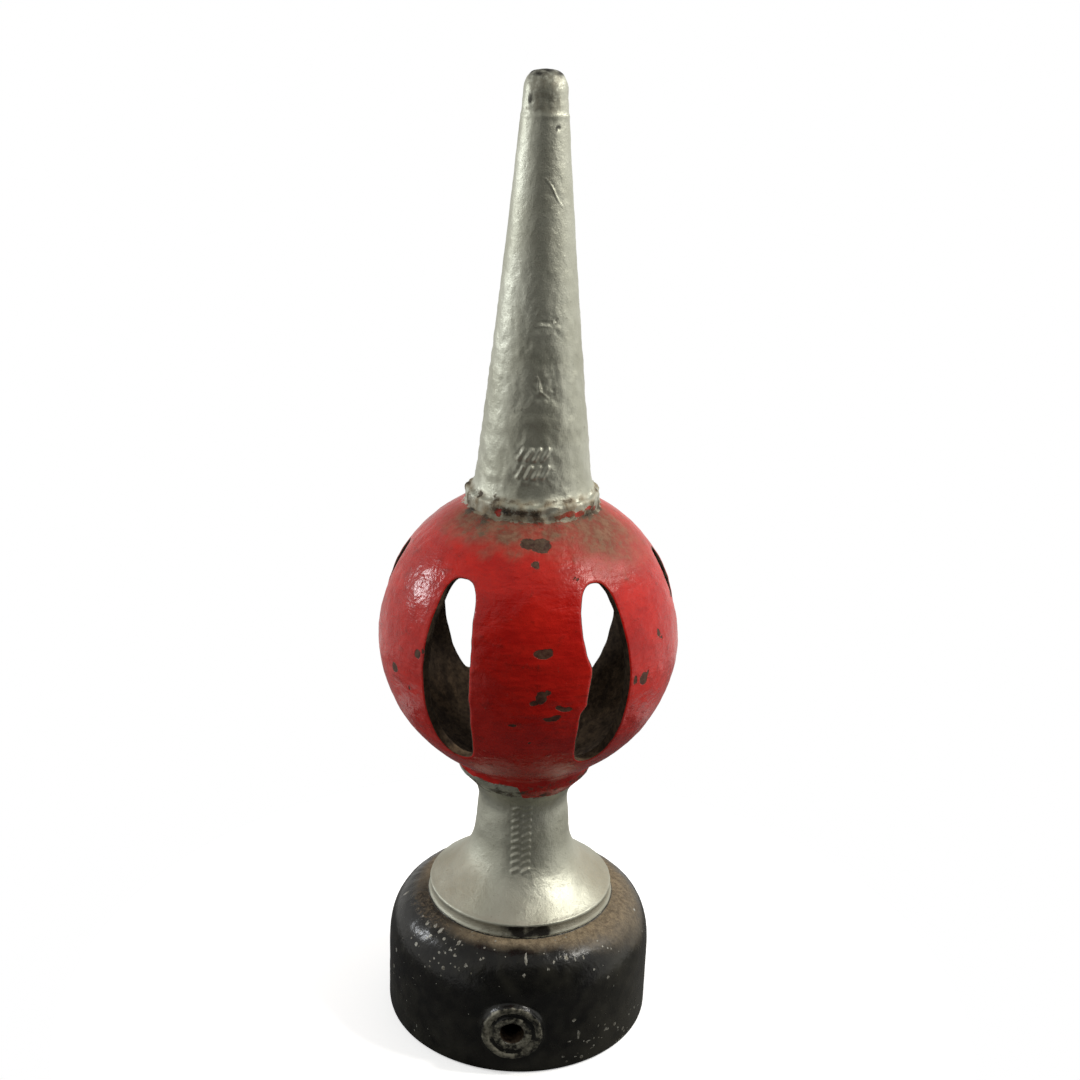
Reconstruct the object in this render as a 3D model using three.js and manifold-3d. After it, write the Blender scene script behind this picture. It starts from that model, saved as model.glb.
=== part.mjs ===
// Post finial for the top of a round tubular post, one iron casting from foot to tip:
// socket cap, disc foot, waisted neck, hollow ball with six slots, collar and tapering spike.
// Millimetres, +Z up. The origin is the middle of the socket's bottom edge.
// The set-screw boss and the cast marks face -Y.

import * as THREE from 'three';
import { mergeVertices } from 'three/addons/utils/BufferGeometryUtils.js';
import Module from 'manifold-3d';

const wasm = await Module();
wasm.setup();

// Sides of every turned surface
const TURN_SIDES = 48;

// Socket cap
const SOCKET_RADIUS = 96.5;
const SOCKET_EDGE_ROUND = 3;
const SHOULDER_START_Z = 50;
const SHOULDER_TOP_Z = 92;
const SHOULDER_INNER_RADIUS = 62;
const SHOULDER_FULLNESS = 2.5;

// Hollow of the socket, open below
const BORE_RADIUS = 86;
const BORE_ROOF_Z = 80;
const BORE_SHOULDER_Z = 46;
const BORE_ROOF_RADIUS = 58;

// Disc foot on the socket
const DISC_RADIUS = 67.6;
const DISC_TOP_RADIUS = 66.8;
const DISC_TOP_Z = 102.3;
const DISC_EDGE_ROUND = 1.5;

// Flare from the disc up into the neck
const FLARE_PULL_LOW = new THREE.Vector2(44, 117.5);
const FLARE_PULL_HIGH = new THREE.Vector2(35, 127);
const NECK_LOW_RADIUS = 34;
const NECK_LOW_Z = 148;
const NECK_WAIST_RADIUS = 31.9;
const NECK_WAIST_Z = 169;

// Cup under the ball
const CUP_PULL_LOW = new THREE.Vector2(32.2, 183);
const CUP_PULL_HIGH = new THREE.Vector2(40.5, 188.5);
const CUP_RADIUS = 46.8;
const CUP_Z = 196;
const CUP_BAND_RADIUS = 49;
const CUP_BAND_Z = 202;

// Ball
const BALL_RADIUS = 104.8;
const BALL_CENTRE_Z = 299.3;
const BALL_WALL = 7;
const BALL_JOIN_RADIUS = 54;

// Slots through the ball, each a tall rounded opening
const SLOT_COUNT = 6;
const SLOT_FIRST_DEGREES = 30;
const SLOT_HALF_WIDTH = 17.2;
const SLOT_HALF_HEIGHT = 64;
const SLOT_FULLNESS = 2.7;
const SLOT_OUTLINE_STEPS = 20;
const SLOT_INNER_REACH = 30;

// Collar on top of the ball
const COLLAR_RADIUS = 45.4;
const COLLAR_TOP_Z = 404;
const COLLAR_EDGE_ROUND = 2.5;

// Spike
const SPIKE_FOOT_RADIUS = 38.4;
const SPIKE_FOOT_Z = 417;
const SPIKE_TOP_RADIUS = 14.3;
const SPIKE_TOP_Z = 657;
const SPIKE_HOLLOW = 0.8;
const SPIKE_STEPS = 5;
const BEAD_Z = 646;
const BEAD_HALF_WIDTH = 2.4;
const BEAD_PROUD = 0.6;
const TIP_Z = 674;
const TIP_FULLNESS = 2.7;

// Set-screw boss on the front of the socket
const BOSS_RADIUS = 21.4;
const BOSS_FACE_Y = -100.6;
const BOSS_ROOT_Y = -89;
const BOSS_X = -1.6;
const BOSS_Z = 36.2;
const BOSS_GROOVE_INNER_RADIUS = 13.6;
const BOSS_GROOVE_OUTER_RADIUS = 16.2;
const BOSS_GROOVE_DEPTH = 1.2;
const SCREW_HOLE_RADIUS = 8.25;
const SCREW_HOLE_LENGTH = 40;
const BOSS_SIDES = 24;

// Cast marks, plain upright strokes in rows
const STROKE_WIDTH = 1.9;
const STROKE_PROUD = 0.9;
const STROKE_SUNK = 2.4;

const SPIKE_MARK = { rows: 3, perRow: 4, bottomZ: 419, topZ: 442, width: 19, stroke: 5.6 };
const NECK_MARK = { rows: 6, perRow: 3, bottomZ: 127, topZ: 178, width: 11, stroke: 5.4 };

// Outer outline, from the bottom on the axis to the tip on the axis

const outline = [];

function corner(r, z) {
  outline.push(new THREE.Vector2(r, z));
}

function follow(curve, steps) {
  for (const point of curve.getPoints(steps)) {
    const last = outline[outline.length - 1];
    if (last.distanceTo(point) > 0.05) {
      outline.push(point);
    }
  }
}

function quarter(cr, cz, rr, rz, fromDegrees, toDegrees, steps) {
  const from = THREE.MathUtils.degToRad(fromDegrees);
  const to = THREE.MathUtils.degToRad(toDegrees);
  follow(new THREE.EllipseCurve(cr, cz, rr, rz, from, to, to < from, 0), steps);
}

// A point on an oval of radius one: fullness 2 is an ellipse, more is squarer
function ovalPoint(angle, fullness) {
  const across = Math.pow(Math.abs(Math.cos(angle)), 2 / fullness) * Math.sign(Math.cos(angle));
  const along = Math.pow(Math.abs(Math.sin(angle)), 2 / fullness) * Math.sign(Math.sin(angle));
  return new THREE.Vector2(across, along);
}

function shoulder(innerRadius, outerRadius, startZ, topZ, stopRadius, steps) {
  for (let i = 0; i <= steps; i += 1) {
    const unit = ovalPoint((i / steps) * (Math.PI / 2), SHOULDER_FULLNESS);
    const r = innerRadius + (outerRadius - innerRadius) * unit.x;
    const z = startZ + (topZ - startZ) * unit.y;
    if (r > stopRadius) {
      corner(r, z);
    }
  }
}

// Socket wall and shoulder
corner(0, 0);
corner(SOCKET_RADIUS - SOCKET_EDGE_ROUND, 0);
quarter(
  SOCKET_RADIUS - SOCKET_EDGE_ROUND, SOCKET_EDGE_ROUND,
  SOCKET_EDGE_ROUND, SOCKET_EDGE_ROUND, -90, 0, 2,
);
shoulder(SHOULDER_INNER_RADIUS, SOCKET_RADIUS, SHOULDER_START_Z, SHOULDER_TOP_Z, DISC_RADIUS + 1, 7);

// Disc foot
corner(DISC_RADIUS, SHOULDER_TOP_Z);
quarter(
  DISC_TOP_RADIUS - DISC_EDGE_ROUND, DISC_TOP_Z - DISC_EDGE_ROUND,
  DISC_EDGE_ROUND, DISC_EDGE_ROUND, 0, 75, 2,
);

// Flare, neck and cup
const flareFoot = new THREE.Vector2(DISC_TOP_RADIUS - DISC_EDGE_ROUND - 0.4, DISC_TOP_Z + 0.3);
const neckLow = new THREE.Vector2(NECK_LOW_RADIUS, NECK_LOW_Z);
const neckWaist = new THREE.Vector2(NECK_WAIST_RADIUS, NECK_WAIST_Z);
const cupEdge = new THREE.Vector2(CUP_RADIUS, CUP_Z);
follow(new THREE.CubicBezierCurve(flareFoot, FLARE_PULL_LOW, FLARE_PULL_HIGH, neckLow), 6);
corner(NECK_WAIST_RADIUS, NECK_WAIST_Z);
follow(new THREE.CubicBezierCurve(neckWaist, CUP_PULL_LOW, CUP_PULL_HIGH, cupEdge), 4);
corner(CUP_BAND_RADIUS, CUP_BAND_Z);

// Ball, from the cup to the collar
const ballFoot = Math.acos(BALL_JOIN_RADIUS / BALL_RADIUS);
const ballHead = Math.acos(COLLAR_RADIUS / BALL_RADIUS);
follow(
  new THREE.EllipseCurve(0, BALL_CENTRE_Z, BALL_RADIUS, BALL_RADIUS, -ballFoot, ballHead, false, 0),
  15,
);

// Collar and the hollow corner above it
quarter(
  COLLAR_RADIUS - COLLAR_EDGE_ROUND, COLLAR_TOP_Z - COLLAR_EDGE_ROUND,
  COLLAR_EDGE_ROUND, COLLAR_EDGE_ROUND, 0, 90, 2,
);
const spikeFoot = new THREE.Vector2(SPIKE_FOOT_RADIUS, SPIKE_FOOT_Z);
const collarTop = new THREE.Vector2(COLLAR_RADIUS - COLLAR_EDGE_ROUND - 0.4, COLLAR_TOP_Z + 0.2);
const collarPull = new THREE.Vector2(SPIKE_FOOT_RADIUS + 0.6, COLLAR_TOP_Z + 4);
follow(new THREE.QuadraticBezierCurve(collarTop, collarPull, spikeFoot), 2);

// Spike: a taper drawn in slightly at mid length, with a low bead near the top
function spikeRadius(z) {
  const t = (z - SPIKE_FOOT_Z) / (SPIKE_TOP_Z - SPIKE_FOOT_Z);
  const taper = SPIKE_FOOT_RADIUS + (SPIKE_TOP_RADIUS - SPIKE_FOOT_RADIUS) * t;
  return taper - SPIKE_HOLLOW * Math.sin(Math.PI * t);
}

const beadFootZ = BEAD_Z - BEAD_HALF_WIDTH;
for (let i = 1; i < SPIKE_STEPS; i += 1) {
  const z = SPIKE_FOOT_Z + ((beadFootZ - SPIKE_FOOT_Z) * i) / SPIKE_STEPS;
  corner(spikeRadius(z), z);
}
corner(spikeRadius(beadFootZ), beadFootZ);
corner(spikeRadius(BEAD_Z) + BEAD_PROUD, BEAD_Z);
corner(spikeRadius(BEAD_Z + BEAD_HALF_WIDTH), BEAD_Z + BEAD_HALF_WIDTH);

const tipSteps = 5;
for (let i = 0; i < tipSteps; i += 1) {
  const unit = ovalPoint((i / tipSteps) * (Math.PI / 2), TIP_FULLNESS);
  corner(SPIKE_TOP_RADIUS * unit.x, SPIKE_TOP_Z + (TIP_Z - SPIKE_TOP_Z) * unit.y);
}
corner(0, TIP_Z);

// Hollow of the socket, drawn the same way round
const bore = [new THREE.Vector2(0, -10), new THREE.Vector2(BORE_RADIUS, -10)];
const boreSteps = 4;
for (let i = 0; i < boreSteps; i += 1) {
  const unit = ovalPoint((i / boreSteps) * (Math.PI / 2), SHOULDER_FULLNESS);
  const r = BORE_ROOF_RADIUS + (BORE_RADIUS - BORE_ROOF_RADIUS) * unit.x;
  const z = BORE_SHOULDER_Z + (BORE_ROOF_Z - BORE_SHOULDER_Z) * unit.y;
  bore.push(new THREE.Vector2(r, z));
}
bore.push(new THREE.Vector2(BORE_ROOF_RADIUS, BORE_ROOF_Z));
bore.push(new THREE.Vector2(0, BORE_ROOF_Z));

// Hollow of the ball
const hollowRadius = BALL_RADIUS - BALL_WALL;
const hollow = new THREE.EllipseCurve(
  0, BALL_CENTRE_Z, hollowRadius, hollowRadius, -Math.PI / 2, Math.PI / 2, false, 0,
).getPoints(14);
hollow[0].x = 0;
hollow[hollow.length - 1].x = 0;

// Solids

function solid(geometry) {
  const plain = geometry.clone();
  plain.deleteAttribute('normal');
  plain.deleteAttribute('uv');
  const merged = mergeVertices(plain, 1e-4);
  const source = merged.index.array;
  const kept = [];
  for (let i = 0; i < source.length; i += 3) {
    const [a, b, c] = [source[i], source[i + 1], source[i + 2]];
    if (a !== b && b !== c && c !== a) {
      kept.push(a, b, c);
    }
  }
  const vertProperties = new Float32Array(merged.attributes.position.array);
  const triVerts = new Uint32Array(kept);
  return new wasm.Manifold(new wasm.Mesh({ numProp: 3, vertProperties, triVerts }));
}

function turned(points, sides) {
  return new THREE.LatheGeometry(points, sides).rotateX(Math.PI / 2);
}

// The space that one slot takes out of the ball: its oval outline at -Y, turned to its place
function slotCutter(degrees) {
  const outlinePoints = [];
  for (let i = 0; i < SLOT_OUTLINE_STEPS; i += 1) {
    const unit = ovalPoint((i / SLOT_OUTLINE_STEPS) * 2 * Math.PI, SLOT_FULLNESS);
    outlinePoints.push(new THREE.Vector2(SLOT_HALF_WIDTH * unit.x, SLOT_HALF_HEIGHT * unit.y));
  }
  const depth = BALL_RADIUS + 20 - SLOT_INNER_REACH;
  const cutter = new THREE.ExtrudeGeometry(new THREE.Shape(outlinePoints), {
    depth,
    steps: 1,
    bevelEnabled: false,
  });
  cutter.rotateX(Math.PI / 2);
  cutter.translate(0, -SLOT_INNER_REACH, BALL_CENTRE_Z);
  cutter.rotateZ(THREE.MathUtils.degToRad(degrees));
  return cutter;
}

// A turned shape laid on its side, facing -Y, at the boss
function acrossFront(points, sides) {
  const shape = new THREE.LatheGeometry(points, sides);
  shape.rotateX(Math.PI);
  shape.translate(BOSS_X, BOSS_FACE_Y, BOSS_Z);
  return shape;
}

function outerRadiusAt(z) {
  for (let i = 1; i < outline.length; i += 1) {
    const below = outline[i - 1];
    const above = outline[i];
    if (above.y > below.y && z >= below.y && z <= above.y) {
      return below.x + ((above.x - below.x) * (z - below.y)) / (above.y - below.y);
    }
  }
  return 0;
}

// Rows of strokes that lie on the turned surface and lean with it
function strokes(mark) {
  const list = [];
  for (let row = 0; row < mark.rows; row += 1) {
    const pitch = (mark.topZ - mark.bottomZ) / mark.rows;
    const z = mark.bottomZ + pitch * (row + 0.5);
    const radius = outerRadiusAt(z);
    const rise = outerRadiusAt(z + 2) - outerRadiusAt(z - 2);
    const lean = Math.atan2(-rise, 4);
    for (let i = 0; i < mark.perRow; i += 1) {
      const offset = (i / (mark.perRow - 1) - 0.5) * mark.width;
      const thick = STROKE_PROUD + STROKE_SUNK;
      const bar = new THREE.BoxGeometry(STROKE_WIDTH, thick, mark.stroke);
      bar.translate(0, (STROKE_SUNK - STROKE_PROUD) / 2, 0);
      bar.rotateX(-lean);
      bar.translate(0, -radius, z);
      bar.rotateZ(offset / radius);
      list.push(bar);
    }
  }
  return list;
}

let casting = solid(turned(outline, TURN_SIDES));

const boss = [
  new THREE.Vector2(0, BOSS_FACE_Y - BOSS_ROOT_Y),
  new THREE.Vector2(BOSS_RADIUS, BOSS_FACE_Y - BOSS_ROOT_Y),
  new THREE.Vector2(BOSS_RADIUS, 0),
  new THREE.Vector2(BOSS_GROOVE_OUTER_RADIUS, 0),
  new THREE.Vector2(BOSS_GROOVE_OUTER_RADIUS, -BOSS_GROOVE_DEPTH),
  new THREE.Vector2(BOSS_GROOVE_INNER_RADIUS, -BOSS_GROOVE_DEPTH),
  new THREE.Vector2(BOSS_GROOVE_INNER_RADIUS, 0),
  new THREE.Vector2(0, 0),
];
casting = casting.add(solid(acrossFront(boss, BOSS_SIDES)));

for (const mark of [SPIKE_MARK, NECK_MARK]) {
  for (const bar of strokes(mark)) {
    casting = casting.add(solid(bar));
  }
}

casting = casting.subtract(solid(turned(bore, TURN_SIDES)));
casting = casting.subtract(solid(turned(hollow, TURN_SIDES)));

const slotStep = 360 / SLOT_COUNT;
for (let i = 0; i < SLOT_COUNT; i += 1) {
  casting = casting.subtract(solid(slotCutter(SLOT_FIRST_DEGREES + i * slotStep)));
}

const screwHole = [
  new THREE.Vector2(0, -SCREW_HOLE_LENGTH / 2),
  new THREE.Vector2(SCREW_HOLE_RADIUS, -SCREW_HOLE_LENGTH / 2),
  new THREE.Vector2(SCREW_HOLE_RADIUS, SCREW_HOLE_LENGTH / 2),
  new THREE.Vector2(0, SCREW_HOLE_LENGTH / 2),
];
casting = casting.subtract(solid(acrossFront(screwHole, BOSS_SIDES)));

// Mesh

const cut = casting.getMesh();
const geometry = new THREE.BufferGeometry();
geometry.setAttribute('position', new THREE.BufferAttribute(cut.vertProperties, 3));
geometry.setIndex(new THREE.BufferAttribute(cut.triVerts, 1));
geometry.computeVertexNormals();

const paintedIron = new THREE.MeshStandardMaterial({
  color: 0x8d8d84,
  roughness: 0.42,
  metalness: 0.5,
});

const finial = new THREE.Group();
const finialCasting = new THREE.Mesh(geometry, paintedIron);
finialCasting.name = 'finial_casting';
finial.add(finialCasting);

export default finial;
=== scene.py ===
import math
import random

import bmesh
import bpy
import numpy as np
from mathutils import Matrix, Vector, noise


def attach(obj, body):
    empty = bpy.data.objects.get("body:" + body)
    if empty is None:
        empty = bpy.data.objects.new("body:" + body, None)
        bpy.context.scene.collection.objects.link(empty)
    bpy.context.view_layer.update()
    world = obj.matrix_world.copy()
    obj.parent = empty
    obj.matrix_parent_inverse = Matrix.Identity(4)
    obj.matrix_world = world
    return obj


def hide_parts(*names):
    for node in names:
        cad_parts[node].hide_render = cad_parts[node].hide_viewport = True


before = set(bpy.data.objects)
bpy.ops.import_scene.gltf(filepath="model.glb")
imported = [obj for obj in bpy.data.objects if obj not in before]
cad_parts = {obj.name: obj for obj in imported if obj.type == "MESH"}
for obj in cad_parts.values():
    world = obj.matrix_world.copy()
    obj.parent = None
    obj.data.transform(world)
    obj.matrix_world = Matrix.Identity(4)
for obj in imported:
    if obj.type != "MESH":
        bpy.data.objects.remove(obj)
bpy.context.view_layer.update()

MM = 0.001

# Sizes in millimetres, following the CAD part's

SOCKET_R = 96.5
SOCKET_EDGE = 3.0
SHOULDER_Z0, SHOULDER_Z1 = 50.0, 92.0
SHOULDER_R = 62.0
SHOULDER_FULL = 2.5
BORE_R, BORE_ROOF_R = 86.0, 58.0
BORE_Z0, BORE_ROOF = 46.0, 80.0
DISC_R, DISC_TOP_R, DISC_TOP = 67.6, 66.8, 102.3
DISC_EDGE = 1.5
NECK_LOW = (34.0, 148.0)
WAIST = (31.9, 169.0)
CUP = (46.8, 196.0)
CUP_BAND = (49.0, 202.0)
BALL_R, BALL_Z, BALL_WALL = 104.8, 299.3, 7.0
BALL_FOOT_R = 54.0
COLLAR_R, COLLAR_TOP = 45.4, 404.0
COLLAR_EDGE = 2.5
SPIKE_R0, SPIKE_Z0 = 38.4, 417.0
SPIKE_R1, SPIKE_Z1 = 14.3, 657.0
SPIKE_DRAWN_IN = 0.8
BEAD_Z, BEAD_HALF, BEAD_UP = 646.0, 2.4, 0.34
TIP_Z, TIP_FULL = 673.7, 2.7
SLOT_W, SLOT_H, SLOT_FULL = 17.2, 62.9, 2.7
SLOT_LIP = 1.6
BOSS_X, BOSS_Z, BOSS_R, BOSS_FACE = -1.6, 36.2, 21.3, 100.6
HOLE_R = 8.25
GROOVE_IN, GROOVE_OUT, GROOVE_DEEP = 13.6, 16.2, 1.2

SLOTS, FIRST_SLOT_DEG = 6, 30.0

# What the curves of the flare and the cup bend towards, as radius and height
FLARE_PULL_LOW, FLARE_PULL_HIGH = (44.0, 117.5), (35.0, 127.0)
CUP_PULL_LOW, CUP_PULL_HIGH = (32.2, 183.0), (40.5, 188.5)

# Columns round the upper and the lower turned surfaces, and across one slot's share of the ball
COLS = 156
COLS_LOW = 312
SECTOR = COLS // SLOTS

# Height of a row of faces on the socket, and on the neck and spike
WALL_STEP, UPPER_STEP = 2.45, 2.1

BALL_IN = BALL_R - BALL_WALL

# Outlines

def oval(angle, full):
    c, s = math.cos(angle), math.sin(angle)
    return (math.copysign(abs(c) ** (2 / full), c), math.copysign(abs(s) ** (2 / full), s))


def bezier(points, steps):
    out = []
    for i in range(1, steps + 1):
        t = i / steps
        level = [Vector(p) for p in points]
        while len(level) > 1:
            level = [a.lerp(b, t) for a, b in zip(level, level[1:])]
        out.append(tuple(level[0]))
    return out


def straight(a, b, steps):
    return [(a[0] + (b[0] - a[0]) * i / steps, a[1] + (b[1] - a[1]) * i / steps)
            for i in range(1, steps + 1)]


def arc(cr, cz, radius, a0, a1, steps):
    out = []
    for i in range(1, steps + 1):
        a = math.radians(a0 + (a1 - a0) * i / steps)
        out.append((cr + radius * math.cos(a), cz + radius * math.sin(a)))
    return out


def even(points, step):
    """The same outline, with a point about every step."""
    pts = np.array(points, float)
    seg = np.hypot(*np.diff(pts, axis=0).T)
    run = np.concatenate([[0], np.cumsum(seg)])
    n = max(2, int(round(run[-1] / step)))
    at = np.linspace(0, run[-1], n + 1)
    return list(zip(np.interp(at, run, pts[:, 0]), np.interp(at, run, pts[:, 1])))


def spike_radius(z):
    t = (z - SPIKE_Z0) / (SPIKE_Z1 - SPIKE_Z0)
    return SPIKE_R0 + (SPIKE_R1 - SPIKE_R0) * t - SPIKE_DRAWN_IN * math.sin(math.pi * t)


# One mesh: vertices, faces and what each vertex is made of

verts, faces = [], []
zone = []
SILVER, RED, BLACK, HOLLOW = range(4)


def add(x, y, z, kind):
    verts.append((x, y, z))
    zone.append(kind)
    return len(verts) - 1


def ring(r, z, cols, kind):
    """Vertices round the axis. Column 0 is at the front, -Y, and they run towards +X."""
    out = []
    for i in range(cols):
        a = 2 * math.pi * i / cols
        out.append(add(r * math.sin(a), -r * math.cos(a), z, kind))
    return out


def bridge(low, high, inward=False, gap=()):
    """Faces between two rings but for the columns in gap, turned away from the axis or towards it."""
    for i in range(len(low)):
        j = (i + 1) % len(low)
        if i not in gap:
            faces.append((low[j], low[i], high[i], high[j]) if inward else (low[i], low[j], high[j], high[i]))


def bridge_half(low, high):
    """Faces between two rings, where low has twice the columns of high."""
    n = len(high)
    m = len(low)
    for i in range(n):
        j = (i + 1) % n
        a, b, c = low[2 * i], low[2 * i + 1], low[(2 * i + 2) % m]
        faces.append((a, b, high[i]))
        faces.append((b, c, high[j]))
        faces.append((high[i], b, high[j]))


def rows(points, cols, kind, first=None):
    """Rings up an outline, joined. first is a ring to start from."""
    made = [first] if first else []
    for r, z in points:
        new = ring(r, z, cols, kind)
        if made:
            bridge(made[-1], new)
        made.append(new)
    return made


# Socket: bottom edge, wall and shoulder

wall_low = [(BORE_R, 0.0), (90.0, 0.0), (SOCKET_R - SOCKET_EDGE, 0.0)]
wall_low += arc(SOCKET_R - SOCKET_EDGE, SOCKET_EDGE, SOCKET_EDGE, -90, 0, 3)
socket_rows = rows(wall_low, COLS_LOW, BLACK)

# The patch of the wall that the boss stands in: columns each side of it, lowest and highest point
PATCH_COLS = 15
PATCH_Z0, PATCH_Z1 = 8.0, 62.0
# Width of the curve at the foot of the boss, and how many rings blend it into the patch
BOSS_FOOT, BLEND_RINGS = 1.6, 4
# Share of the uneven spacing of the patch's edge that the circles round the hole keep
KEEP_UNEVEN = 0.35
# The patch of the bore that the hole opens in: columns each side, and how far it goes down and up
BORE_PATCH_COLS, BORE_PATCH_DOWN, BORE_PATCH_UP = 7, 14, 9

shoulder = [(SHOULDER_R + (SOCKET_R - SHOULDER_R) * u, SHOULDER_Z0 + (SHOULDER_Z1 - SHOULDER_Z0) * v)
            for u, v in (oval(math.pi / 2 * i / 60, SHOULDER_FULL) for i in range(61))]
shoulder = [p for p in shoulder if p[0] > DISC_R + 0.9]
outer_wall = [(SOCKET_R, SOCKET_EDGE), (SOCKET_R, SHOULDER_Z0)] + shoulder[1:]
outer_wall = even(outer_wall, WALL_STEP)


def wall_radius(z):
    pts = outer_wall
    zs = [p[1] for p in pts]
    return float(np.interp(z, zs, [p[0] for p in pts]))


def bore_radius(z):
    if z <= BORE_Z0:
        return BORE_R
    t = min(1.0, (z - BORE_Z0) / (BORE_ROOF - BORE_Z0))
    return BORE_ROOF_R + (BORE_R - BORE_ROOF_R) * (1 - t ** SHOULDER_FULL) ** (1 / SHOULDER_FULL)


patch_rows = [i for i, p in enumerate(outer_wall) if PATCH_Z0 <= p[1] <= PATCH_Z1]
P0, P1 = patch_rows[0], patch_rows[-1]
boss_turn = math.asin(BOSS_X / SOCKET_R)


def boss_column(cols):
    """The column nearest to the boss, of so many round the axis."""
    return int(round(boss_turn / (2 * math.pi / cols)))


def open_rows(points, cols, kind, first, hole_rows, half, inward=False):
    """Rings up an outline from first, joined except at a patch round the boss."""
    centre = boss_column(cols)
    patch = {(centre + d) % cols for d in range(-half, half)}
    made = [first]
    for k, (r, z) in enumerate(points):
        new = ring(r, z, cols, kind)
        bridge(made[-1], new, inward, patch if hole_rows[0] < k <= hole_rows[1] else ())
        made.append(new)
    return made


outer_made = open_rows(outer_wall[1:], COLS_LOW, BLACK, socket_rows[-1], (P0 - 1, P1 - 1), PATCH_COLS)


def loop_of(made, first, last, half, cols):
    """Vertex loop round a patch: bottom, right, top, left, seen from outside."""
    centre = boss_column(cols)

    def at(row, d):
        return made[row][(centre + d) % cols]

    out = [at(first, d) for d in range(-half, half)]
    out += [at(k, half) for k in range(first, last)]
    out += [at(last, d) for d in range(half, -half, -1)]
    out += [at(k, -half) for k in range(last, first, -1)]
    return out


boss_loop = loop_of(outer_made, P0, P1, PATCH_COLS, COLS_LOW)


def boss_ring(radius, depth, kind, ragged=0.0):
    """A circle round the set-screw hole, depth back from the boss face, or on the bore if that is None."""
    out = []
    for a in base_turn:
        r = radius
        if ragged:
            r += ragged * noise.noise(Vector((math.cos(a) * 2.2, math.sin(a) * 2.2, radius)))
        x = BOSS_X + r * math.cos(a)
        z = BOSS_Z + r * math.sin(a)
        if depth is None:
            w = bore_radius(z)
            y = -math.sqrt(w * w - x * x)
        else:
            y = -BOSS_FACE + depth
        out.append(add(x, y, z, kind))
    return out


turns = []
for v in boss_loop:
    x, _, z = verts[v]
    turns.append(math.atan2(z - BOSS_Z, x - BOSS_X))
# The circles' points are spread nearly evenly, and still lean towards the patch's edge
even_turns = [turns[0] + 2 * math.pi * i / len(turns) for i in range(len(turns))]
base_turn = []
for t, e in zip(turns, even_turns):
    d = (t - e + math.pi) % (2 * math.pi) - math.pi
    base_turn.append(e + KEEP_UNEVEN * d)


def blend_rings(loop, radius, steps, kind):
    """Rings from a patch's edge to a circle, on the socket's wall."""
    made = [loop]
    for k in range(1, steps + 1):
        t = k / steps
        new = []
        for v, a in zip(loop, base_turn):
            x0, _, z0 = verts[v]
            x1 = BOSS_X + radius * math.cos(a)
            z1 = BOSS_Z + radius * math.sin(a)
            x = x0 + (x1 - x0) * t
            z = z0 + (z1 - z0) * t
            w = wall_radius(z)
            new.append(add(x, -math.sqrt(w * w - x * x), z, kind))
        bridge(made[-1], new)
        made.append(new)
    return made


boss_made = blend_rings(boss_loop, BOSS_R + BOSS_FOOT, BLEND_RINGS, BLACK)
# Circles across the boss, from its foot to the hole: radius, depth back from the face, unevenness
boss_profile = (
    (BOSS_R + 0.5, 3.0, 0.5), (BOSS_R + 0.1, 1.4, 0.9), (BOSS_R - 0.3, 0.5, 1.2),
    (BOSS_R - 1.2, 0.0, 1.0), (BOSS_R - 2.8, 0.05, 0.6), (GROOVE_OUT + 0.6, 0.25, 0.5),
    (GROOVE_OUT - 0.2, GROOVE_DEEP, 0.3), (GROOVE_IN + 0.5, GROOVE_DEEP, 0.3),
    (GROOVE_IN - 0.2, 0.25, 0.5), (GROOVE_IN - 1.6, 0.0, 0.4), (HOLE_R + 2.4, 0.0, 0.2),
    (HOLE_R + 1.0, 0.15, 0.2), (HOLE_R + 0.25, 0.7, 0.1), (HOLE_R, 1.8, 0.0),
    (HOLE_R, 4.5, 0.0), (HOLE_R, 8.0, 0.0))
for radius, depth, ragged in boss_profile:
    new = boss_ring(radius, depth, BLACK if radius > HOLE_R + 0.1 else HOLLOW, ragged)
    bridge(boss_made[-1], new)
    boss_made.append(new)
hole_inner = boss_ring(HOLE_R, None, HOLLOW)
bridge(boss_made[-1], hole_inner)

# Hollow of the socket

bore_pts = [(BORE_R, z) for z in np.linspace(0, BORE_Z0, 10)[1:]]
rise = np.sin(np.linspace(0, 1, 9)[1:] * math.pi / 2)
bore_pts += [(bore_radius(z), z) for z in BORE_Z0 + (BORE_ROOF - BORE_Z0) * rise]
hole_lo = [i for i, p in enumerate(bore_pts) if p[1] < BOSS_Z - BORE_PATCH_DOWN][-1]
hole_hi = [i for i, p in enumerate(bore_pts) if p[1] > BOSS_Z + BORE_PATCH_UP][0]


def bore_side():
    """The socket's inner wall and roof, with a patch left open for the hole. Returns the patch's edge."""
    cols = COLS_LOW // 2
    edge = socket_rows[0]
    first = ring(BORE_R, 0.02, cols, HOLLOW)
    for i in range(cols):
        j = (i + 1) % cols
        a, b, c = edge[2 * i], edge[2 * i + 1], edge[(2 * i + 2) % len(edge)]
        faces.extend(((b, a, first[i]), (c, b, first[j]), (b, first[i], first[j])))
    made = open_rows(bore_pts, cols, HOLLOW, first, (hole_lo, hole_hi), BORE_PATCH_COLS, inward=True)
    loop = loop_of(made, hole_lo + 1, hole_hi + 1, BORE_PATCH_COLS, cols)
    for r in (BORE_ROOF_R * 0.66, BORE_ROOF_R * 0.33):
        new = ring(r, BORE_ROOF, cols, HOLLOW)
        bridge(made[-1], new, inward=True)
        made.append(new)
    middle = add(0, 0, BORE_ROOF, HOLLOW)
    for i in range(cols):
        faces.append((made[-1][(i + 1) % cols], made[-1][i], middle))
    return loop


bore_loop = bore_side()


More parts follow.
